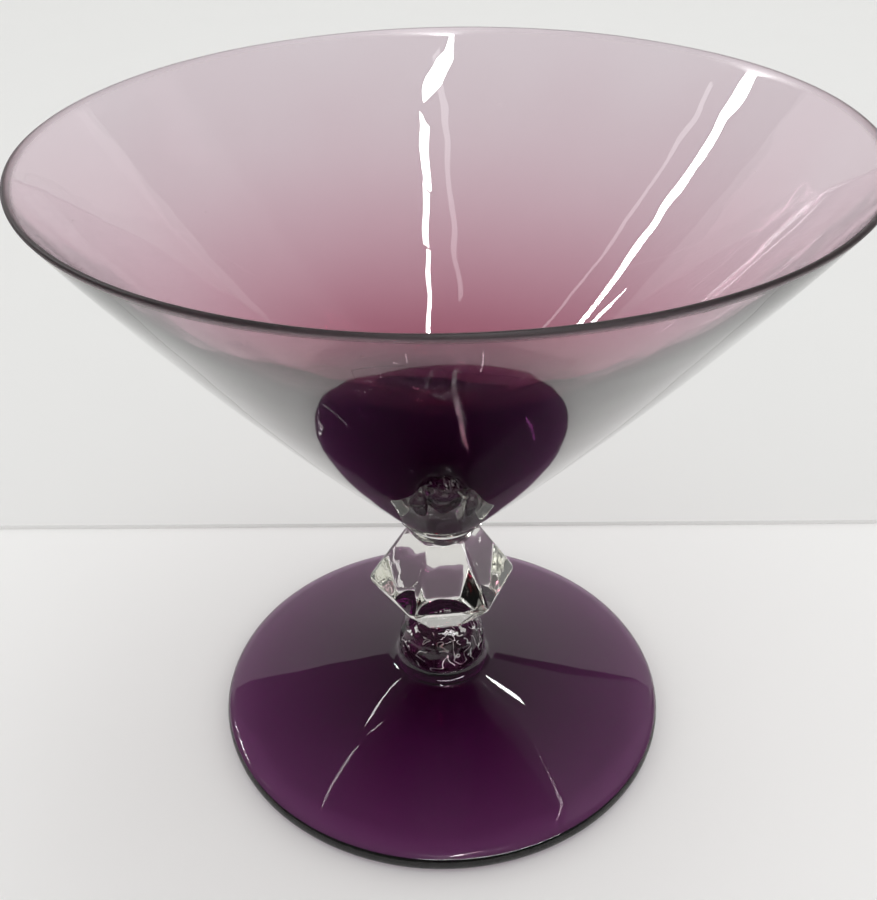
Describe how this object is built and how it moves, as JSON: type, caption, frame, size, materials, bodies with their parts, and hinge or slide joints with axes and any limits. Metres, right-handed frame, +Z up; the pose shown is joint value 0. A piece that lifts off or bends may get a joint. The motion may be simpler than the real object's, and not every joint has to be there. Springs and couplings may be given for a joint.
{
  "type": "sherbet dish",
  "caption": "Footed glass sherbet dish: a wide conical amethyst bowl on a short clear stem with a faceted knop and a ball, fused to a round coned amethyst foot.",
  "frame": {"origin": "on the dish's axis, in the plane of the foot's resting ring", "axes": "+Z up along the dish's axis, from the foot to the rim; -Y is the side that the picture is taken from"},
  "size_m": [0.108, 0.108, 0.0992],
  "materials": {
    "bowl_amethyst_glass": "clear amethyst glass, fire polished, deeper in colour where the wall is thicker",
    "stem_clear_glass": "clear colourless pressed glass, fire polished",
    "foot_amethyst_glass": "clear amethyst glass, fire polished, nearly opaque at the middle"
  },
  "bodies": {
    "root": {"bowl": "bowl_amethyst_glass", "stem": "stem_clear_glass", "foot": "foot_amethyst_glass"}
  },
  "joints": []
}
